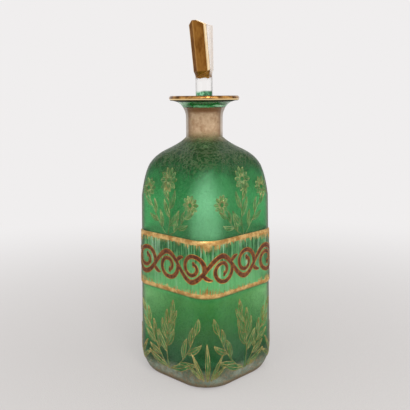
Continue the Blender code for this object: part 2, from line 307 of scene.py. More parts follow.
class Finish:
    """A material, or the world, in the making, which ends in one surface shader."""

    def __init__(self, name, kind="Material"):
        self.kind = kind
        self.made = (bpy.data.worlds if kind == "World" else bpy.data.materials).new(name)
        self.made.use_nodes = True
        self.tree = self.made.node_tree
        self.tree.nodes.clear()

    def node(self, kind, settings, inputs, output=0):
        """Adds a node: its settings first, then each input as a wire or a plain value. A plain colour is
        red, green and blue from 0 to 255 on a screen, and is stored as linear light."""
        node = self.tree.nodes.new("ShaderNode" + kind)
        for key, value in settings.items():
            setattr(node, key, value)
        for key, value in inputs.items():
            socket = node.inputs[key]
            if isinstance(value, Wire):
                self.tree.links.new(value.socket, socket)
            elif socket.type == "RGBA":
                screen = np.array(value) / 255
                linear = np.where(screen <= 0.04045, screen / 12.92, ((screen + 0.055) / 1.055) ** 2.4)
                socket.default_value = (*linear.tolist(), 1.0)
            else:
                socket.default_value = value
        return Wire(self, node.outputs[output] if node.outputs else None)

    def place(self, upright=1.0, moved=(0.0, 0.0, 0.0)):
        """The object's own coordinates in metres, scaled along the height and then moved."""
        own = self.node("TexCoord", {}, {}, "Object")
        return self.node("Mapping", {}, {0: own, "Scale": (1.0, 1.0, upright), "Location": moved})

    def height(self):
        """The height above the foot, in metres."""
        return self.node("SeparateXYZ", {}, {0: self.place()}, "Z")

    def along(self, direction, place=None):
        """How far a place lies along a direction: the sum of the products of their parts."""
        inputs = {0: place or self.place(), 1: direction}
        return self.node("VectorMath", {"operation": "DOT_PRODUCT"}, inputs, "Value")

    def facing(self):
        """0 where the surface faces the eye and 1 where it is seen edge-on."""
        return self.node("LayerWeight", {}, {"Blend": 0.5}, "Facing")

    def noise(self, scale, detail=3.0, upright=1.0, moved=(0.0, 0.0, 0.0), roughness=0.55):
        """Cloudy noise from 0 to 1, with a number of clouds to the metre."""
        place = self.place(upright, moved)
        inputs = {"Vector": place, "Scale": scale, "Detail": detail, "Roughness": roughness}
        return self.node("TexNoise", {}, inputs)

    def blend(self, first, second, factor):
        """A colour between two colours."""
        return self.node("Mix", {"data_type": "RGBA"}, {0: factor, 6: first, 7: second}, 2)

    def bump(self, relief, depth):
        """A normal from a relief of 0 to 1 that is depth metres deep."""
        return self.node("Bump", {}, {"Strength": 1.0, "Distance": depth, "Height": relief})

    def surface(self, colour, roughness, **sockets):
        """A Principled surface: its colour, its roughness and its other sockets by name."""
        inputs = {"Base Color": colour, "Roughness": roughness}
        for key, value in sockets.items():
            inputs[key.replace("_", " ").title().replace("Ior", "IOR")] = value
        return self.node("BsdfPrincipled", {}, inputs)

    def layered(self, under, over, factor):
        """One surface shader over another, as a mask says."""
        return self.node("MixShader", {}, {0: factor, 1: under, 2: over})

    def done(self, shader):
        """Ends the material in a shader and returns it."""
        self.node("Output" + self.kind, {}, {"Surface": shader})
        return self.made


# The heights over which each finish of the outside comes in, and for a band goes out again.
heel_fades, drawn_fades, neck_fades = (0.0075, 0.0165), (0.13, 0.158), (0.1672, 0.176)
corner_highlight_fades, low_shade_fades, heel_shade_fades = (0.098, 0.112), (0.02, 0.05), (0.016, 0.034)
painted_side_glow, painted_low_glow = (0.026, 0.046, 0.06, belt_low), (0.018, 0.046, 0.062, belt_low)
olive_fades, etched_fades = (0.15, 0.171), (0.146, 0.16)
brush_fades, border_shade = (0.07, 0.094), (0.086, belt_high - 0.005)
bare_fades, painted_sheen_band = (0.0028, 0.006), (0.004, 0.0068, 0.008, 0.0125)
brown_fades, tan_fades = (0.1874, 0.1898), (0.17, 0.178)
foot_fades, dusted_edge = (0.0022, 0.005), (0.001, 0.0055)
slant = np.sqrt(0.5)


def frosted_glass():
    """Etched green glass: darker and veined where it was drawn in over the shoulder, that dark partly
    painted shade, paler and streaked on the belt, bare and greyish at the heel and dusted with tan gold on
    the neck. Painted highlights, glow and shade lie on it as well."""
    finish = Finish("frosted_green_glass")
    height, facing = finish.height(), finish.facing()
    grain, pebble, mottle = finish.noise(1400, 2), finish.noise(520), finish.noise(230, 4)
    cloud, broad = finish.noise(42, upright=0.6), finish.noise(16, 1, moved=(0.3, 0.1, 0))
    streak, patch = finish.noise(640, 4, 0.08), finish.noise(90, 2, 0.45)
    vein = 1 - abs(finish.noise(280, 2, roughness=0.6) - 0.5).between(0.01, 0.08)

    # The walls: cloudy, with a painted highlight down the front and back corners from the top of the belt
    # up, a painted glow of light through the glass between the heel and the belt, and painted shade low
    # down.
    # thin is a painted highlight: it lightens the front and back corners from the top of the belt up.
    thin = abs(finish.along((-slant, -slant, 0.0))).between(0.037, 0.0458) * height.between(*corner_highlight_fades)
    green = finish.blend((116, 232, 150), (52, 170, 88), cloud.between(0.3, 0.7))
    green = green.into((24, 132, 60), broad.between(0.42, 0.66) * 0.6 * (1 - thin))
    green = green.into((184, 255, 206), thin * 0.95)
    # Painted glow: light through the glass towards the side corners, and all round below the belt.
    across = abs(finish.along((slant, -slant, 0.0))).between(0.024, 0.044)
    green = green.into((176, 255, 190), across * height.band(*painted_side_glow) * 0.7)
    green = green.into((214, 252, 128), height.band(*painted_low_glow) * 0.24)
    green = green.into((34, 132, 64), pebble.between(0.45, 0.75) * 0.45)
    green = green.into((150, 226, 166), vein * 0.16)
    # Painted shade: darker low down, towards the heel.
    green = green.into((28, 150, 66), (1 - height.stirred(cloud, 0.012).between(*low_shade_fades)) * 0.5)
    green = green.into((12, 100, 40), (1 - height.stirred(cloud, 0.016).between(*heel_shade_fades)) * 0.5)

    # The shoulder: the glass is deeper there, and its dark green is partly that and partly painted shade.
    # Olive veins of acid run over it towards the neck.
    drawn = height.stirred(cloud, 0.012).stirred(mottle, 0.012).between(*drawn_fades)
    deep_and_shaded = finish.blend((0, 46, 12), (24, 108, 44), pebble.between(0.4, 0.62))
    olive = height.stirred(mottle, 0.012).between(*olive_fades) * (pebble.between(0.4, 0.58) * 0.6 + 0.2)
    etched = height.stirred(cloud, 0.016).stirred(mottle, 0.01).between(*etched_fades) * vein
    green = green.into(deep_and_shaded, drawn * 0.95).into((84, 100, 58), olive).into((112, 146, 88), etched * 0.8)

    # The belt: dark upright streaks that fade downwards, pale streaks of painted highlight, and a painted
    # shade along both its steps.
    belt = height.band(belt_low, belt_low + 0.001, belt_high - 0.001, belt_high)
    under_border = height.between(*border_shade) * 0.1
    brushed = height.between(*brush_fades) * 0.6 + 0.4
    hatch = (streak + under_border * cloud.between(0.3, 0.55)).between(0.48, 0.61) * brushed
    highlight_streak = finish.noise(520, 3, 0.06, (0.2, 0.1, 0)).between(0.52, 0.66) * brushed
    pale = finish.blend((148, 236, 160), (24, 108, 46), hatch).into((214, 255, 214), highlight_streak * 0.8)
    low_step = height.band(belt_low - 0.0014, belt_low - 0.0004, belt_low - 0.0001, belt_low + 0.0003)
    high_step = height.band(belt_high - 0.0003, belt_high + 0.0001, belt_high + 0.0004, belt_high + 0.0014)
    green = green.into(pale, belt * 0.9).into((58, 62, 28), (low_step + high_step) * 0.75)

    # The heel: almost no green, blotched and veined, with a broken painted sheen along its lower edge.
    heel = 1 - height.stirred(cloud, 0.012).stirred(mottle, 0.004).between(*heel_fades)
    bare = finish.blend((120, 176, 150), (232, 222, 196), mottle.between(0.38, 0.62))
    bare = bare.into((96, 130, 100), vein * pebble.between(0.35, 0.6) * 0.7)
    bare = finish.blend((106, 112, 78), bare, height.between(*bare_fades))
    painted_sheen = height.band(*painted_sheen_band) * (mottle + patch * 0.5).between(0.62, 0.88)

    neck = height.stirred(mottle, 0.004).between(*neck_fades)
    relief = finish.bump(grain * 0.4 + pebble + mottle + vein * 0.2 + etched * (1 - neck) * 1.6, 0.00028)
    glass = finish.surface(green.into(bare, heel), 0.4 + (mottle - 0.5) * 0.16 - drawn * 0.1,
                           transmission_weight=1.0, ior=1.47, specular_tint=(140, 176, 146), normal=relief)

    # The milky bloom of the frosting, which scatters light at the surface. Its colour and share also carry
    # painted highlights on the front and back corners with glints there, the belt's streaks and the heel's
    # sheen, and painted shade on the shoulder.
    # sparkle is painted glints in the corner highlight.
    sparkle = grain.between(0.5, 0.75) * pebble.between(0.5, 0.66) * thin
    veil = finish.blend((60, 150, 84), (118, 204, 130), belt).into((36, 80, 40), drawn)
    veil = veil.into((128, 136, 94), etched).into((140, 228, 166), (thin + sparkle) * 0.9)
    veil = veil.into((190, 232, 196), belt * highlight_streak)
    veil = veil.into(finish.blend((146, 174, 152), (222, 200, 160), pebble.between(0.42, 0.58)), heel)
    bloom = finish.surface(veil.into((178, 200, 182), painted_sheen * 0.8), 0.7, normal=relief)
    milky = 0.05 + (patch - 0.5) * 0.12 + belt * (0.26 - hatch * 0.25 + highlight_streak * 0.22)
    milky = milky + heel * (painted_sheen * 0.2 + 0.18) + etched * 0.17 + sparkle * 0.3 + thin * 0.24
    frosted = finish.layered(glass, bloom, milky)

    # The tan gold dust: all over the neck, browner at its top, and worn to specks on the foot's edge.
    blotch = mottle.between(0.34, 0.66) * 0.6 + pebble.between(0.3, 0.7) * 0.4
    tan = finish.blend((212, 182, 148), (170, 134, 98), blotch)
    tan = tan.into((122, 78, 34), height.between(*brown_fades) * 0.9)
    tan = finish.blend((158, 132, 90), tan, height.between(*tan_fades))
    tan = finish.blend((122, 86, 48), tan, height.between(*foot_fades))
    dust = finish.surface(tan, 0.7, metallic=0.1, normal=relief)
    edge = 1 - height.stirred(grain, 0.004).between(*dusted_edge)
    speckle = pebble.between(0.48, 0.72) * heel * (0.5 - painted_sheen * 0.3)
    dressed = finish.layered(frosted, dust, neck * 0.92 | edge * 0.75 + speckle)

    # Seen edge-on the frosting shows as a film, painted grey as a reflection of dark surroundings, and the
    # neck's dust is painted darker on its sides and pale at its rim: painted shade and a painted highlight.
    painted_neck_edge = finish.blend((138, 110, 84), (206, 196, 186), facing.between(0.46, 0.6))
    # grey is a painted reflection of dark surroundings, seen at the edges.
    grey = finish.blend((104, 108, 92), (72, 82, 56), drawn)
    painted_edge_frost = finish.surface(finish.blend(grey, painted_neck_edge, neck), 0.8, normal=relief)
    edge_on = facing.between(0.42, 0.82) * (0.88 - drawn * 0.82 - heel * 0.5)
    edge_on = edge_on + facing.between(0.84, 0.98) * 0.5 * (drawn - neck)
    edge_on = edge_on + facing.between(0.22, 0.5) * neck * 0.85
    return finish.done(finish.layered(dressed, painted_edge_frost, edge_on))


polish_low, polish_shaded = 0.1913, (0.1957, 0.1962)
polish_gleam = (0.1925, 0.1945)


def polished_green(name, light, dark, under_lip=False):
    """Fire-polished glass, which flowed in thick and thin swirls. Under the lip painted gleams of light lie
    on it, and its last half millimetre is painted dark for the shade of the gold."""
    finish = Finish(name)
    height, swirl = finish.height(), finish.noise(120, 1, 2.5)
    colour = finish.blend(dark, light, swirl.between(0.4, 0.6))
    glass = finish.surface(colour, 0.05, transmission_weight=1.0, ior=1.5, normal=finish.bump(swirl, 0.0003))
    if not under_lip:
        return finish.done(glass)
    # The shine is a painted highlight: pale green streaks and a band over the glass.
    glow = finish.noise(62, 1, 6, (0, 0.1, 0))
    shine = finish.surface(finish.blend((36, 138, 60), (190, 252, 204), glow.between(0.52, 0.64)), 0.15)
    gleam = glow.between(0.42, 0.62) * 0.45 + height.between(*polish_gleam) * 0.25 + 0.28
    # Painted shade: a dark matt film just under the gold.
    shade = finish.surface((30, 30, 18), 0.6, specular_ior_level=0.0)
    lit = finish.layered(glass, shine, gleam)
    return finish.done(finish.layered(lit, shade, height.between(*polish_shaded) * 0.92))


def inner_green():
    """The inside of the glass, smooth from the blowing."""
    finish = Finish("inner_green_glass")
    colour = finish.blend((236, 250, 240), (214, 240, 222), finish.noise(60, 2, 0.3))
    return finish.done(finish.surface(colour, 0.12, transmission_weight=1.0, ior=1.47))


rings, lip_row, inner_row = bottle_rings()
bottle = ring_piece("bottle_glass", [
    frosted_glass(),
    polished_green("polished_green_glass", (196, 255, 212), (66, 186, 98), True),
    polished_green("mouth_green_glass", (170, 250, 190), (120, 216, 148)),
    inner_green(),
], [rings])
mouth_row = lip_row + 8
row = np.arange(rings.shape[1] - 1)
polished = rings[0, :-1, 0, 2] > polish_low
finish_of_row = np.where(row >= inner_row, 3, np.where(row >= mouth_row, 2, np.where(polished, 1, 0)))
finish_of_face = np.repeat([*finish_of_row, 0, 3], rings.shape[2])
bottle.data.polygons.foreach_set("material_index", finish_of_face.astype(np.int32))
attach(bottle, "bottle")
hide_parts("bottle")

# The gilding of the lip: liquid gold brushed round the rounded edge of the lip, fired on and burnished.
# It is a film that wraps the edge, from just under it to the narrow flat on its top.

gold_film = 0.00006
wrap_from, wrap_to = -0.75, 2.1
highlight_up, highlight_fade = 0.001, 0.0006


def gold_finish(name, light, dark, rough=0.26, rubbed=None, thin=None):
    """Fired gold: brushed brighter and darker, and painted pale below a height as a painted highlight. In
    patches, and everywhere above another height, it is so thin that the green shows through."""
    finish = Finish(name)
    brush, grain = finish.noise(260, 4), finish.noise(2400, 2)
    colour, metal = finish.blend(light, dark, brush.between(0.35, 0.65)), 1.0
    # rubbed is the height below which the gold is painted pale, a painted highlight.
    if rubbed:
        colour = finish.blend((246, 214, 156), colour, finish.height().between(rubbed, rubbed + highlight_fade))
    if thin:
        patch = finish.noise(120)
        bare = finish.height().between(thin - 0.02, thin) * 0.6 + patch.between(0.42, 0.6) * 0.36
        colour = colour.into(finish.blend((156, 176, 116), (98, 122, 68), brush.between(0.4, 0.6)), bare)
        metal = 1 - bare
    relief = finish.bump(grain + brush, 0.00006)
    return finish.done(finish.surface(colour, rough + (grain - 0.5) * 0.16, metallic=metal, normal=relief))


def rim_hoop(columns=192):
    """A hoop whose section hugs the lip's edge: an arc a film's thickness outside the glass, and back
    along an arc as far inside it."""
    arc = np.linspace(wrap_from, wrap_to, 18)
    arc, film = np.concatenate([arc, arc[::-1]]), gold_film * np.repeat([1, -1], 18)
    radius = lip_radius - lip_round + (lip_round + film) * np.cos(arc)
    height = (lip_low + lip_top) / 2 + ((lip_top - lip_low) / 2 + film) * np.sin(arc)
    turn = steps(0, 2 * np.pi, columns)[:, None]
    return at_height(np.cos(turn) * radius, np.sin(turn) * radius, height)[:, ::-1]


# The lip's gold is painted pale along its lower edge, a painted highlight.
lip_gold = gold_finish("burnished_gold", (196, 146, 82), (104, 66, 26), 0.16, lip_low + highlight_up)
rim = ring_piece("rim_gilding", [lip_gold], [], [rim_hoop()], 1.2)
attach(rim, "bottle")

# The belt's two borders: a band of gold painted along each edge of the raised belt, with the ragged
# ends of brush strokes drawn inwards over the etched glass, closest together at the corners.

girth = 0.274
border_wide, border_over = 0.003, 0.0002
border_sway, border_nicks, sway_waves, nick_waves = 0.00035, 0.0004, 90, 400
paint_proud, paint_sink = 0.00012, 0.00008
stroke_long, stroke_longer = (0.0006, 0.0026), (0.0, 0.0034)
stroke_half, stroke_slant, stroke_lap = (0.00013, 0.0003), 0.1, 0.0006
stroke_crowd, stroke_taper, stroke_sink = 0.035, 0.75, 0.00006
hair = 0.00004


def lifted(flat, lift):
    """Points of the outside at flat positions (way round in metres, height), moved outwards by lift
    along the normal, which is the cross product of the skin's own two directions."""
    share, height = flat[..., 0] / girth, flat[..., 1]
    round_it = skin(share + hair / girth, height) - skin(share - hair / girth, height)
    up_it = skin(share, height + hair) - skin(share, height - hair)
    normal = np.cross(round_it, up_it)
    normal /= np.linalg.norm(normal, axis=-1, keepdims=True)
    return skin(share, height) + normal * lift[..., None]


def shorter_way(way):
    """A distance round the bottle, forwards or backwards, whichever is the shorter."""
    return (way + girth / 2) % girth - girth / 2


def leftward(path, looped=False):
    """The direction to the left of each line, as a unit vector: a quarter turn from the difference of
    a point's two neighbours. A looped line runs on from its end to its start."""
    ahead = np.gradient(path, axis=1)
    if looped:
        ahead = np.roll(path, -1, axis=1) - np.roll(path, 1, axis=1)
        ahead[..., 0] = shorter_way(ahead[..., 0])
    ahead = ahead / np.linalg.norm(ahead, axis=-1, keepdims=True)
    return np.stack([-ahead[..., 1], ahead[..., 0]], axis=-1)


def ribbon(path, half, crown, base=0.0, sink=0.0001, columns=8, looped=False):
    """Rings of raised strokes on the glass. path[item, row] is (way round, height); the section is half
    an ellipse, half wide to each side and crown high, over a flatter one that sinks into the glass."""
    turn = 2 * np.pi * (np.arange(columns) + 0.5) / columns
    half, crown, base = (size * np.ones((*path.shape[:2], 1)) if np.ndim(size) < 2 else size[..., None]
                         for size in (half, crown, base))
    flat = path[:, :, None] + (half * np.cos(turn))[..., None] * leftward(path, looped)[:, :, None]
    return lifted(flat, base + np.where(np.sin(turn) > 0, crown, sink) * np.sin(turn))


def sway(way, most, seed):
    """Smooth random waves along the way round: a sum of sines of whole numbers of waves, up to the
    most, with random phases."""
    draw = np.random.default_rng(seed)
    counts = draw.integers(most // 3, most, 14)
    phases = draw.uniform(0, 2 * np.pi, 14)
    return np.sin(2 * np.pi * counts * (way[..., None] / girth) + phases).sum(axis=-1) / 5


def border(edge, inward, seed, columns=1500):
    """Rings of a painted band all the way round: from the belt's edge to a ragged inner edge, thin as
    paint, following the belt's slope. edge is its height, inward +1 or -1."""
    way = steps(0, girth, columns)
    nicks = np.maximum(sway(way, nick_waves, seed + 1), 0)
    wide = border_wide + border_sway * sway(way, sway_waves, seed) + border_nicks * nicks
    step = np.linspace(0, 1, 9)
    over = edge - inward * border_over + inward * wide[:, None] * step
    flat = np.stack(np.broadcast_arrays(way[:, None], over), axis=-1)
    top = lifted(flat, paint_proud * (1 - (2 * step - 1) ** 8) + 0 * over)
    rings = np.concatenate([top, lifted(flat, 0 * over - paint_sink)[:, -2:0:-1]], axis=1)
    return rings[:, ::-1] if inward > 0 else rings


def fringe(edge, inward, count, seed):
    """Rings of short brush strokes that taper inwards from a border. They crowd towards the four
    corners, and there they are longer."""
    draw, step = np.random.default_rng(seed), np.linspace(0, 1, 5)
    spot = draw.uniform(0, 1, count)
    spot = spot - stroke_crowd * np.sin(8 * np.pi * spot + np.pi)
    near = np.cos(8 * np.pi * (spot - 0.125)) * 0.5 + 0.5
    length = draw.uniform(*stroke_long, count) + near**3 * draw.uniform(*stroke_longer, count)
    half, slope = draw.uniform(*stroke_half, count), draw.normal(0, stroke_slant, count)
    out = (length + stroke_lap)[:, None] * step
    away = edge + inward * (border_wide - stroke_lap + out)
    path = np.stack([spot[:, None] * girth + slope[:, None] * out, away], axis=-1)
    half = half[:, None] * (1 - stroke_taper * step**1.5)
    return ribbon(path, half, paint_proud, columns=5, sink=stroke_sink)


borders = ring_piece(
    "belt_gilding", [gold_finish("brushed_gold", (232, 196, 130), (182, 138, 78), 0.48)],
    [fringe(belt_low, 1, 420, 11), fringe(belt_high, -1, 520, 12)],
    [border(belt_low, 1, 3), border(belt_high, -1, 5)],
)
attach(borders, "bottle")

# The belt's running scroll: one wavy stem with a volute curled into each bend and a leaflet after it,
# in dark red enamel laid on thick and fired.

waves = 6
half_wave = girth / waves / 2
wave_high = 0.0088
belt_middle = (belt_low + belt_high) / 2
enamel_proud = 0.00034
stem_thin, stem_swell = 0.00122, 0.00038
curl_from, curl_turn = 12, -455
curl_wide, curl_in, curl_aside = 0.0094, 0.007, 0.001
curl_half, curl_taper = 0.00145, 0.0005
bud_half, bud_at, bud_share = 0.0019, 0.965, 0.0365
sprig_long, sprig_half, sprig_tip, sprig_at = 0.008, 0.00125, 0.00008, (0.0088, 0.003)
sprig_heading, sprig_bend, sprig_cut, sprig_rows = 1.02, -0.95, 0.14, 24

stem_way = steps(0, girth, 720)
swing = np.cos(np.pi * stem_way / half_wave)
stem_path = np.stack([stem_way, belt_middle + wave_high * swing], axis=-1)[None]
stem_half = (stem_thin + stem_swell * np.abs(swing))[None]

bend = np.arange(2 * waves)[:, None]
bend_side = 1 - 2 * (bend % 2)


def at_bends(stroke, half):
    """A stroke's path and half width repeated at every bend, upside down at every second one."""
    path = [bend * half_wave + stroke[..., 0], belt_middle + bend_side * stroke[..., 1]]
    return np.stack(path, axis=-1), half + 0 * bend


def headed(angle, reach):
    """Points, or steps, at a reach in the direction of an angle: its cosine and its sine."""
    return np.stack([np.cos(angle) * reach, np.sin(angle) * reach], axis=-1)


def curls():
    """The volutes: a spiral whose radius falls evenly as it turns, with its centre a little past the
    middle of each bend. It starts on the stem, winds inwards and ends in a round bud."""
    step = np.linspace(0, 1, 110)[None]
    angle = np.radians(curl_from + curl_turn * step)
    radius = curl_wide - curl_in * step
    bud = bud_half * np.sqrt(np.clip(1 - ((step - bud_at) / bud_share) ** 2, 0.002, 1))
    half = np.where(step > bud_at, bud, np.maximum(curl_half - curl_taper * step, bud - 0.00002))
    return at_bends(headed(angle, radius) + (curl_aside, -curl_aside), half)


def sprigs():
    """Pointed leaflets that spring from the stem's outer flank past each bend and curve away. Their
    half width is the sine of the last part of a half turn."""
    step = np.linspace(0, 1, sprig_rows)[None]
    gone = headed(sprig_heading + sprig_bend * step, sprig_long / (sprig_rows - 1))
    swell = np.sin(np.pi * (step * (1 - sprig_cut) + sprig_cut)).clip(0) ** 0.8
    return at_bends(np.cumsum(gone, axis=1) + sprig_at, sprig_tip + sprig_half * swell)


def red_enamel():
    """Opaque fired enamel: dark red-brown, mottled where it was laid thin, with a soft gloss."""
    finish = Finish("red_enamel")
    thin, grain = finish.noise(420, 4), finish.noise(2600, 2)
    worn = finish.noise(900, moved=(0.1, 0, 0.2))
    colour = finish.blend((82, 36, 10), (128, 72, 30), thin.between(0.42, 0.62))
    colour = colour.into((58, 24, 8), worn.between(0.52, 0.66) * 0.7)
    relief = finish.bump(thin + grain * 0.3, 0.0001)
    rough = 0.48 + (grain - 0.5) * 0.15
    return finish.done(finish.surface(colour, rough, specular_ior_level=0.3, normal=relief))


strokes = [(stem_path, stem_half), curls(), sprigs()]
scroll = ring_piece(
    "belt_scroll", [red_enamel()],
    [ribbon(path, half, enamel_proud, columns=10) for path, half in strokes[1:]],
    [ribbon(stem_path, stem_half, enamel_proud, looped=True, columns=10)[0]],
)
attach(scroll, "bottle")

# The scroll's outline: liquid gold drawn with a fine pen down both edges of every enamel stroke, and
# fired with it. Where two strokes meet, the line stops.

pen_half, pen_high, pen_root = 0.00024, 0.00016, 0.00022
pen_lift, pen_dip = 0.00014, 0.0004
pen_clear, pen_over = -0.0003, 0.0001


def pen_lines(paths):
    """Gold lines down both edges of every stroke, the first of which is looped. A point that is nearer
    to another stroke's middle than that stroke's half width dips under it."""
    lines = []
    for number, (path, half) in enumerate(paths):
        side = leftward(path, number == 0)
        for hand in (-1, 1):
            line = path + side * (hand * (half + hair))[..., None]
            shown = np.ones(line.shape[:2])
            for far_path, far_half in paths[:number] + paths[number + 1:]:
                gap = line.reshape(-1, 1, 2) - far_path.reshape(1, -1, 2)
                away = np.hypot(shorter_way(gap[..., 0]), gap[..., 1]) - far_half.reshape(1, -1)
                shown = shown * eased(pen_clear, pen_over, away.min(axis=1).reshape(shown.shape))
            lift = pen_lift * shown - pen_dip * (1 - shown)
            lines.append(ribbon(line, pen_half, pen_high, lift, pen_root, 6, number == 0))
    return lines


lines = pen_lines(strokes)
pen_gold = gold_finish("pen_gold", (214, 158, 88), (170, 112, 54), 0.36)
outlines = ring_piece("scroll_outline", [pen_gold], lines[2:], [line[0] for line in lines[:2]])
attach(outlines, "bottle")

# The sprays: on every face a branch of plain pointed leaves rises from the heel to the belt, and another
# from the belt to the shoulder with small flowers, and a tuft of long leaves stands at each corner of the
# heel. The acid left them standing as low relief, a little paler than the ground.

leaf_high, button_high = 0.00027, 0.00034
leaf_rows, stem_rows = 11, 22
heel_up, belt_up = 9.5, 106.3

# Each stem is its foot, its bend and its tip (way round, height) in millimetres. Then come each stem's
# pairs of leaves, its leaves' length and its half width.
stems = np.array([
    [(0.0, heel_up), (-5.0, 32.0), (2.5, 50.0)],
    [(1.0, heel_up), (17.0, 18.0), (26.0, 41.0)],
    [(-1.0, heel_up), (-13.0, 24.0), (-24.0, 47.0)],
    [(0.0, belt_up), (4.5, 122.0), (-1.0, 139.0)],
    [(2.0, belt_up), (13.0, 112.0), (21.0, 126.0)],
    [(-2.0, belt_up), (-12.0, 117.0), (-20.5, 133.0)],
]) * 0.001
stem_pairs = np.array([3, 2, 3, 2, 2, 2])
stem_leaf = np.array([0.0185, 0.019, 0.016, 0.0165, 0.0125, 0.013])
stem_thick = np.array([0.0008, 0.00065, 0.00065, 0.00065, 0.00055, 0.00055])

# The leaves of a stem: the share of it that they stand on and where that begins, for a lower and for an
# upper stem; the room round them in leaf gaps; their angle and how it closes; and their shape.
leaves_low, leaves_high, leaf_room = (0.74, 0.22), (0.86, 0.1), (0.6, 0.8)
leaf_open, leaf_close, leaf_shrink, leaf_bend, leaf_wide = 0.95, 0.35, 0.35, 0.6, 0.132
tip_long, tip_bend, tip_wide = 0.62, 0.25, 0.1

# Each leaf is a row: its base (way round, height), heading, length, bend and half width. Each flower is
# its middle and its radius.
basal_leaves = [
    [0.002, 0.0108, 0.1, 0.0215, 0.6, 0.0024], [-0.002, 0.0108, np.pi - 0.12, 0.02, -0.65, 0.0023],
]
tuft_leaves = [
    [-0.0046, 0.0092, 2.28, 0.015, 0.35, 0.00125], [-0.0024, 0.008, 1.92, 0.0215, 0.2, 0.0014],
    [0.0002, 0.0076, 1.54, 0.0275, 0.08, 0.0015], [0.0026, 0.008, 1.2, 0.0205, -0.22, 0.0014],
    [0.0048, 0.0092, 0.86, 0.0145, -0.35, 0.00125],
]
flower_heads = np.array([[-0.001, 0.144, 0.0086], [0.0222, 0.129, 0.0066], [-0.0214, 0.137, 0.007]])
petal_count, petal_root, petal_bend, petal_wide, button_half = 10, 0.0014, 0.18, 0.175, 0.0017


def bezier(points, step):
    """The curve (1-t)^2 a + 2t(1-t) b + t^2 c through three points, for each stem."""
    a, b, c = points[:, None, 0], points[:, None, 1], points[:, None, 2]
    t = step[..., None]
    return (1 - t) ** 2 * a + 2 * t * (1 - t) * b + t**2 * c


def leaves_on_stems():
    """The leaves of one face: pairs along each stem, smaller towards its tip, standing off it at an
    angle that closes towards the tip, and one at the end of each lower stem."""
    leaves = []
    for number, (points, pairs, length) in enumerate(zip(stems, stem_pairs, stem_leaf)):
        count, is_low = np.arange(2 * pairs), number < 3
        span, start = leaves_low if is_low else leaves_high
        along = (count + leaf_room[0]) / (2 * pairs + leaf_room[1]) * span + start
        hand = 1 - 2 * ((count + number) % 2)
        at = bezier(points[None], along[None])[0]
        first, last = points[1] - points[0], points[2] - points[1]
        ahead = 2 * (1 - along[:, None]) * first + 2 * along[:, None] * last
        heading = np.arctan2(ahead[:, 1], ahead[:, 0]) + hand * (leaf_open - leaf_close * along)
        long = length * (1 - leaf_shrink * along)
        leaves.append(np.column_stack([at, heading, long, -leaf_bend * hand, long * leaf_wide]))
        if is_low:
            onward = np.arctan2(last[1], last[0])
            leaves.append([[*points[2], onward, length * tip_long, tip_bend, length * tip_wide]])
    return np.concatenate([*leaves, basal_leaves])


def petals():
    """The petals of one face's flowers: each points straight out from its flower's middle."""
    at = np.repeat(flower_heads, petal_count, axis=0)
    angle = np.tile(steps(0, 2 * np.pi, petal_count), len(flower_heads))
    base, bend = at[:, :2] + headed(angle, petal_root), np.full(len(at), petal_bend)
    return np.column_stack([base, angle, at[:, 2] - petal_root, bend, at[:, 2] * petal_wide])


def on_every_face(flat, uneven=0.05):
    """Repeats flat positions, or leaves, on the four faces, every second one mirrored. Every leaf's
    heading and length are a little unlike the others'."""
    draw, width, faces = np.random.default_rng(21), flat.shape[-1], []
    for face in range(4):
        own = flat.copy()
        if width > 2:
            own[:, 2] += draw.normal(0, uneven, len(flat))
            own[:, 3] *= draw.normal(1, uneven, len(flat))
        if face % 2:
            own = own * [-1, 1, -1, 1, -1, 1][:width] + [0, 0, np.pi, 0, 0, 0][:width]
        own[..., 0] += face * girth / 4
        faces.append(own)
    return np.concatenate(faces)


def leaf_lines(leaves, blunt=0.82):
    """The middle line of each leaf, which turns evenly by its bend, and its half width along it: the
    sine of a half turn over a power of the way, widest before the middle."""
    step = np.linspace(0.015, 0.985, leaf_rows)
    gone = headed(leaves[:, 2:3] + leaves[:, 4:5] * step, leaves[:, 3:4] / (leaf_rows - 1))
    path = leaves[:, None, :2] + np.cumsum(gone, axis=1) - gone[:, :1]
    return path, leaves[:, 5:6] * np.sin(np.pi * step**blunt) ** 0.9


def satin_relief():
    """Pale etched green, with gold dust rubbed over the tips."""
    finish = Finish("satin_green_relief")
    mottle, grain, patch = finish.noise(190, 4), finish.noise(1500, 2), finish.noise(70, 2)
    colour = finish.blend((72, 188, 104), (124, 226, 150), mottle.between(0.35, 0.65))
    bump = finish.bump(grain + mottle, 0.00016)
    body = finish.surface(colour, 0.42, transmission_weight=0.86, ior=1.47,
                          specular_tint=(150, 176, 152), normal=bump)
    dust = finish.surface((196, 146, 82), 0.5, metallic=0.4, normal=bump)
    rubbed = patch.between(0.66, 0.78) * mottle.between(0.35, 0.6) * 0.7
    return finish.done(finish.layered(body, dust, rubbed))


corners = np.zeros((4, 1, 6))
corners[:, 0, 0] = girth / 8 + np.arange(4) * girth / 4
tufts = (np.array(tuft_leaves) + corners).reshape(-1, 6)
leaf_path, leaf_half = leaf_lines(np.concatenate([on_every_face(leaves_on_stems()), tufts]))
petal_path, petal_half = leaf_lines(on_every_face(petals()), 1.25)
stem_paths = on_every_face(bezier(stems, np.linspace(0, 1, stem_rows)))
stem_halves = np.tile(stem_thick, 4)[:, None] * (1 - 0.45 * np.linspace(0, 1, stem_rows))
button_step = np.linspace(-0.98, 0.98, 9)
button_line = np.stack([button_half * button_step, 0 * button_step], axis=-1)
button_path = on_every_face(flower_heads[:, :2])[:, None] + button_line
button_halves = button_half * np.sqrt(1 - button_step**2) + np.zeros((len(button_path), 1))

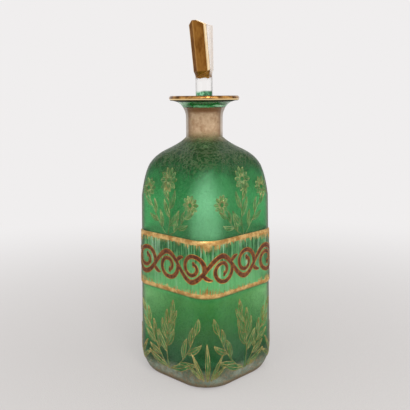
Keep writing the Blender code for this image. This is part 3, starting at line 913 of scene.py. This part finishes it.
sprays = ring_piece("leaf_relief", [satin_relief()], [
    ribbon(stem_paths, stem_halves, leaf_high * 0.8, columns=6),
    ribbon(leaf_path, leaf_half, leaf_high, columns=10),
    ribbon(petal_path, petal_half, leaf_high * 0.9, columns=8),
    ribbon(button_path, button_halves, button_high, columns=10),
])
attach(sprays, "bottle")

# The sprays' gilding: their edges, ribs, veins and stems drawn in gold with a fine brush and fired. It is
# thin in patches, and above the belt the green shows through it.

# Each line is its half width and its height.
edge_line, rib_line, vein_line = (0.00018, 0.00012), (0.00017, 0.00011), (0.00007, 0.00007)
stem_line, edge_up, edge_root, line_root = (0.00016, 0.0001), 0.00005, 0.0002, 0.0001
vein_first, vein_last, vein_forward, vein_reach = 0.14, 0.66, 0.18, 0.82


def drawn_lines(path, half, veins=3):
    """Gold lines of leaves: both edges, the rib, and side veins that run from the rib towards the edge,
    lying on the leaf's crown."""
    side = leftward(path)
    edges = [path + side * (hand * half)[..., None] for hand in (-1, 1)]
    sets = [ribbon(edge, *edge_line, edge_up, edge_root, 5) for edge in edges]
    sets.append(ribbon(path, *rib_line, leaf_high, line_root, 5))
    way = np.linspace(0, 1, 4)
    reach = vein_reach * way
    for vein in np.linspace(vein_first, vein_last, veins):
        at = (vein + vein_forward * way) * (leaf_rows - 1)
        low = np.floor(at).astype(int)
        part = at - low
        middle = path[:, low] * (1 - part)[:, None] + path[:, low + 1] * part[:, None]
        wide = half[:, low] * (1 - part) + half[:, low + 1] * part
        for hand in (-1, 1):
            line = middle + side[:, low] * (hand * wide * reach)[..., None]
            crown = leaf_high * np.sqrt(1 - reach**2) + 0 * wide
            sets.append(ribbon(line, *vein_line, crown, line_root, 4))
    return sets


leaf_gold = ring_piece(
    "leaf_gilding", [gold_finish("drawn_gold", (226, 198, 134), (180, 150, 92), 0.52, thin=belt_high)],
    drawn_lines(leaf_path, leaf_half) + drawn_lines(petal_path, petal_half, 1)
    + [ribbon(stem_paths, *stem_line, leaf_high * 0.8, line_root, 5)],
)
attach(leaf_gold, "bottle")

# The stopper: one piece of clear glass, ground to a taper below and cut above into a flat blade that
# widens upwards, leans a little and is bevelled at the top. Gold is fired on its narrow edges.

seat_gap = 0.0003
plug_long, plug_chamfer = 0.017, 0.0008
shank_radius, shank_fillet, shank_up = 0.00587, 0.0034, 0.0103
blade_shoulder_up, blade_rise = 0.0068, 0.0334
blade_up = blade_shoulder_up + blade_rise
blade_shoulder_half, blade_top_half, blade_half_thick = 0.0096, 0.0181, 0.0059
wide_cut, narrow_cut, least_cut = 0.0031, 0.0012, 0.0003
steep_run, flat_run, bevel_down = 0.0025, 0.006, 0.0028
blade_turn, blade_lean, blade_tip = np.radians(35.0), np.radians(-2.2), np.radians(-3.5)
soft_edge, top_shrink = 0.0004, 0.985


def blade_section(up):
    """Corners of the blade's section at a height above its root: a rectangle that widens upwards with
    its four corners cut off, two wide and two narrow, and its faces drawn in by the top bevels."""
    half = shank_radius + (blade_shoulder_half - shank_radius) * ramp(0, blade_shoulder_up, up)
    half = half + (blade_top_half - blade_shoulder_half) * ramp(blade_shoulder_up, blade_up, up)
    bevel = ramp(blade_up - bevel_down, blade_up, up)
    front, back = flat_run * bevel - blade_half_thick, blade_half_thick - steep_run * bevel
    wide = np.maximum(wide_cut - steep_run * bevel, least_cut)
    narrow = np.maximum(narrow_cut - flat_run * bevel, least_cut)
    x = np.stack([half, half, half - wide, wide - half, -half, -half, narrow - half, half - narrow], -1)
    y = np.stack([front + narrow, back - wide, back, back, back - wide, front + narrow, front, front], -1)
    return np.stack([x, y], axis=-1)


def softened(corners, run):
    """A ring from a section's corners: each becomes a short curve of four points, from one a little
    way back to one a little way on, and six points lie on the straight between two corners."""
    ends = []
    for shift in (1, -1):
        edge = np.roll(corners, shift, axis=-2) - corners
        long = np.linalg.norm(edge, axis=-1, keepdims=True)
        ends.append((corners + edge / long * np.minimum(run, long * 0.4))[..., None, :])
    first, last = ends
    step = np.linspace(0, 1, 4)[:, None]
    curve = (1 - step) ** 2 * first + 2 * step * (1 - step) * corners[..., None, :] + step**2 * last
    part = np.arange(1, 7)[:, None] / 7
    edge = last * (1 - part) + np.roll(first, -1, axis=-3) * part
    return np.concatenate([curve, edge], axis=-2).reshape(*corners.shape[:-2], -1, 2)


def plug_wall(height):
    """The plug's radius at a height: the bore's taper, less the gap of the seat."""
    return bore_radius - bore_taper * (bore_high - height) - seat_gap


def stopper_rings():
    """Rings of the stopper from the plug's end up: circles along the plug, the fillet and the shank,
    and from the root the blade's cut sections, turned and leant about the root. Each circle point
    stands in the direction of the section point above it."""
    root, end, bevel_at = lip_top + shank_up, bore_high - plug_long, blade_up - bevel_down
    up = np.concatenate([
        np.linspace(0, blade_shoulder_up, 5)[1:], np.linspace(blade_shoulder_up, bevel_at, 14)[1:],
        bevel_at + bevel_down * np.array([0.04, 0.35, 0.7, 0.96, 1.0]),
    ])
    ring = softened(blade_section(up), soft_edge)
    ease = ramp(0, blade_shoulder_up, up)[:, None, None]
    direction = ring[3] / np.linalg.norm(ring[3], axis=-1, keepdims=True)
    ring = direction * shank_radius * (1 - ease) + ring * ease
    ring[-1] *= top_shrink
    turned = Matrix.Rotation(blade_turn, 3, "Z")
    leant = np.array(turned @ Matrix.Rotation(blade_tip, 3, "Y") @ Matrix.Rotation(blade_lean, 3, "X"))
    blade = at_height(ring[..., 0], ring[..., 1], up[:, None]) @ leant.T + [0, 0, root]
    plug = np.linspace(end + plug_chamfer, bore_high, 14)[1:]
    arc = np.linspace(0, np.pi / 2, 8)[1:]
    low = np.concatenate([
        rows(end, plug_wall(end) * np.array([0.4, 0.8])),
        rows(end + plug_chamfer * np.array([0.0, 0.5, 1.0]),
             plug_wall(end) - plug_chamfer * np.array([1.0, 0.4, 0.0])),
        rows(plug, plug_wall(plug)),
        rows(bore_high + shank_fillet * (1 - np.cos(arc)),
             shank_radius + (plug_wall(bore_high) - shank_radius) * (1 - np.sin(arc))),
        rows(np.linspace(bore_high + shank_fillet, root, 8)[1:], shank_radius),
    ])
    circle = (direction @ np.array(turned.to_2x2()).T) * low[:, 1, None, None]
    low = at_height(circle[..., 0], circle[..., 1], low[:, 0, None])
    return np.concatenate([low, blade])[None], len(low)


gilt_low, gilt_slope, gilt_ragged, gilt_fade = 0.2147, 0.5, 0.0012, 0.0002
painted_green_fades, painted_green_gone = (lip_top - 0.0012, lip_top - 0.0004), (lip_top + 0.0022, lip_top + 0.0036)
edge_sheen_fades = (0.213, 0.217)
blade_side = (-np.sin(blade_turn), np.cos(blade_turn), 0.0)


def cut_glass(name, light=None, dark=None, metallic=1.0):
    """Polished glass with the green of the lip painted on just above it, a painted reflection, over a
    ground plug. With a light and a dark colour it is brushed with gold down to a ragged slanting edge,
    where the glass shows."""
    finish = Finish(name)
    height, ripple = finish.height(), finish.noise(70, 2)
    relief = finish.bump(ripple, 0.00012)
    # mouth is the painted reflection of the lip's green in the glass just above the lip.
    mouth = finish.blend((30, 104, 58), (150, 220, 170), finish.noise(700, 1, 0.5).between(0.5, 0.66))
    above = height.stirred(ripple, 0.006).between(*painted_green_gone)
    painted_lip_green = height.between(*painted_green_fades) - above
    colour = finish.blend((255, 254, 252), mouth, painted_lip_green)
    glass = finish.surface(colour, 0.02, transmission_weight=1.0, ior=1.52, normal=relief)
    if not light:
        # Seen edge-on the clear glass takes a painted sheen: greyish low down and pale cream above.
        bloom = finish.blend((178, 166, 156), (255, 243, 230), height.between(*edge_sheen_fades))
        bloom = finish.surface(bloom, 0.4, normal=relief)
        clear = finish.layered(glass, bloom, finish.facing().between(0.55, 0.95) * 0.7)
        grit = finish.bump(finish.noise(2600, 2), 0.00012)
        ground = finish.surface((236, 244, 240), 0.5, transmission_weight=0.75, ior=1.5, normal=grit)
        above_seat = height.between(bore_high - seat_gap, bore_high + 0.0001)
        return finish.done(finish.layered(ground, clear, above_seat))
    brush, worn = finish.noise(900, 3, 0.05), finish.noise(210, 3, 0.4)
    colour = finish.blend(light, dark, brush.between(0.3, 0.7) * 0.4 + worn.between(0.4, 0.6) * 0.6)
    brushed = finish.bump(brush, 0.00004)
    gold = finish.surface(colour, 0.34 + (worn - 0.5) * 0.2, metallic=metallic, normal=brushed)
    gold_behind = finish.surface((208, 154, 64), 0.6, metallic=0.2)
    gold = finish.layered(gold, gold_behind, finish.node("NewGeometry", {}, {}, "Backfacing"))
    ragged = height + finish.along(blade_side) * gilt_slope + (brush - 0.5) * gilt_ragged
    return finish.done(finish.layered(glass, gold, ragged.between(gilt_low, gilt_low + gilt_fade)))


clear, edge, chamfer, crease, underside, pale_highlight, dim_crease = range(7)
rings, root_row = stopper_rings()
# The wide chamfers' gold is painted darker, a painted shade. The creases and the narrow chamfers are painted
# pale as painted highlights, dimmer where the narrow edges meet the wide chamfers.
stopper = ring_piece("stopper_glass", [
    cut_glass("clear_cut_glass"),
    cut_glass("gilt_edge", (164, 114, 52), (122, 76, 28)),
    cut_glass("gilt_chamfer", (138, 92, 38), (98, 58, 18)),
    cut_glass("gilt_crease", (250, 226, 178), (234, 198, 140)),
    cut_glass("gilt_underside", (166, 116, 38), (126, 82, 22), 0.1),
    cut_glass("gilt_worn_thin", (255, 238, 210), (246, 222, 184), 0.7),
    cut_glass("gilt_dull_crease", (184, 138, 78), (154, 106, 54)),
], [rings], smooth_angle=0.35)
around_it = rings.shape[2]
facet_points, crease_points = around_it // 8, 3
of_facet = np.array([edge, chamfer, clear, chamfer, edge, pale_highlight, clear, pale_highlight])
of_crease = np.array([crease, dim_crease, crease, crease, dim_crease, crease, crease, crease])
row, column = np.divmod(np.arange((rings.shape[1] - 1) * around_it), around_it)
facet = column // facet_points
kind = np.where(column % facet_points < crease_points, of_crease[facet], of_facet[facet])
kind = np.where((row < root_row + 3) & (kind > clear) & (kind != pale_highlight), underside, kind)
kind = np.where(row >= root_row - 1, kind, clear)
kind = np.concatenate([kind, np.repeat([clear, edge], around_it)])
stopper.data.polygons.foreach_set("material_index", kind.astype(np.int32))
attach(stopper, "stopper")
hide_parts("stopper")

# The stage: a pale paper floor that fades into an even pale background, and soft daylight from three
# windows. The camera looks at a corner of the body, level with the lip and tilted down.

floor_colour, back_colour, floor_reach = (185, 180, 176), (240, 238, 238), 5.0
view_line = (np.cos(np.radians(44.1)), np.sin(np.radians(44.1)), 0.0)
lit_point = (0.0, 0.0, 0.12)


def ray(finish, kind):
    """1 for the rays of one kind and 0 for all others."""
    return finish.node("LightPath", {}, {}, f"Is {kind} Ray")


def paper():
    """Matt paper, which far from the bottle is as bright as the background to whatever looks at it."""
    finish = Finish("pale_paper")
    fibre = finish.noise(900)
    away = finish.node("VectorMath", {"operation": "LENGTH"}, {0: finish.place()}, "Value")
    colour = finish.blend(floor_colour, (181, 176, 172), fibre.between(0.3, 0.7))
    sheet = finish.surface(colour, 0.9, specular_ior_level=0.1, normal=finish.bump(fibre, 0.0002))
    glow = finish.node("Emission", {}, {"Color": back_colour, "Strength": 1.0})
    looked_at = ray(finish, "Camera") | (ray(finish, "Glossy") | ray(finish, "Transmission"))
    # Near the bottle it still glows at four tenths of that brightness to these rays, a painted light that
    # lifts the bottle's shadow on the paper.
    return finish.done(finish.layered(sheet, glow, (away.between(0.06, 0.62) * 0.6 + 0.4) * looked_at))


def disc(radius, circles=24, columns=96):
    """A flat floor: circles of points around the middle, closer together near it, and a pole."""
    out = radius * (np.arange(1, circles + 1)[:, None] / circles) ** 3
    turn, ring = 2 * np.pi * np.arange(columns) / columns, np.arange(columns)
    points = at_height(out * np.cos(turn), out * np.sin(turn), 0.0).reshape(-1, 3)
    row, beside = np.arange(circles - 1)[:, None] * columns, (ring + 1) % columns
    quads = np.stack([row + ring, row + columns + ring, row + columns + beside, row + beside], axis=-1)
    fan = np.stack([ring, beside, np.full(columns, circles * columns)], axis=-1)
    return np.concatenate([points, np.zeros((1, 3))]), quads.reshape(-1, 4).tolist() + fan.tolist()


floor = new_piece("paper_floor", *disc(floor_reach), [paper()])


def studio():
    """Even air: the background's own brightness to the camera. To the glass and to everything else it is
    dimmer on the two sides of the room that hold no window."""
    air = Finish("studio_air", "World")
    bright = abs(air.along(view_line, air.node("TexCoord", {}, {}))).between(0.25, 0.85)
    lit = air.node("Background", {}, {"Color": (240, 239, 240), "Strength": 0.7})
    mirrored = air.node("Background", {}, {"Color": back_colour, "Strength": bright * 0.5 + 0.5})
    seen = air.node("Background", {}, {"Color": back_colour, "Strength": 1.0})
    light = air.layered(lit, mirrored, ray(air, "Glossy") | ray(air, "Transmission"))
    return air.done(air.layered(light, seen, ray(air, "Camera")))


def window(name, place, size, power):
    """A large soft lamp at a place, turned to the middle of the bottle."""
    lamp = bpy.data.lights.new(name, "AREA")
    lamp.shape, lamp.energy = "RECTANGLE", power
    lamp.size, lamp.size_y = size
    holder = bpy.data.objects.new(name, lamp)
    aim = (Vector(lit_point) - Vector(place)).to_track_quat("-Z", "Y")
    holder.matrix_world = Matrix.LocRotScale(Vector(place), aim, None)
    holder.visible_transmission = False
    scene.collection.objects.link(holder)


scene.world = studio()
window("left_window", (-1.0, 0.25, 0.75), (1.4, 1.6), 4.0)
window("right_window", (0.35, -1.0, 0.7), (1.4, 1.6), 4.5)
window("front_window", (-0.55, -0.8, 1.0), (0.6, 0.8), 8.5)

eye_round, eye_back, eye_tilt, eye_roll = np.radians(-45.9), 0.4563, np.radians(9.67), np.radians(0.45)
lens = bpy.data.cameras.new("camera")
lens.sensor_width, lens.lens = 36.0, 56.31
camera = bpy.data.objects.new("camera", lens)
turned = Matrix.Rotation(eye_round, 4, "Z") @ Matrix.Rotation(np.pi / 2 - eye_tilt, 4, "X")
placed = Matrix.Translation((eye_back * np.sin(eye_round), -eye_back * np.cos(eye_round), lip_top))
camera.matrix_world = placed @ turned @ Matrix.Rotation(-eye_roll, 4, "Z")
scene.collection.objects.link(camera)
scene.camera = camera
scene.view_settings.view_transform = "Standard"
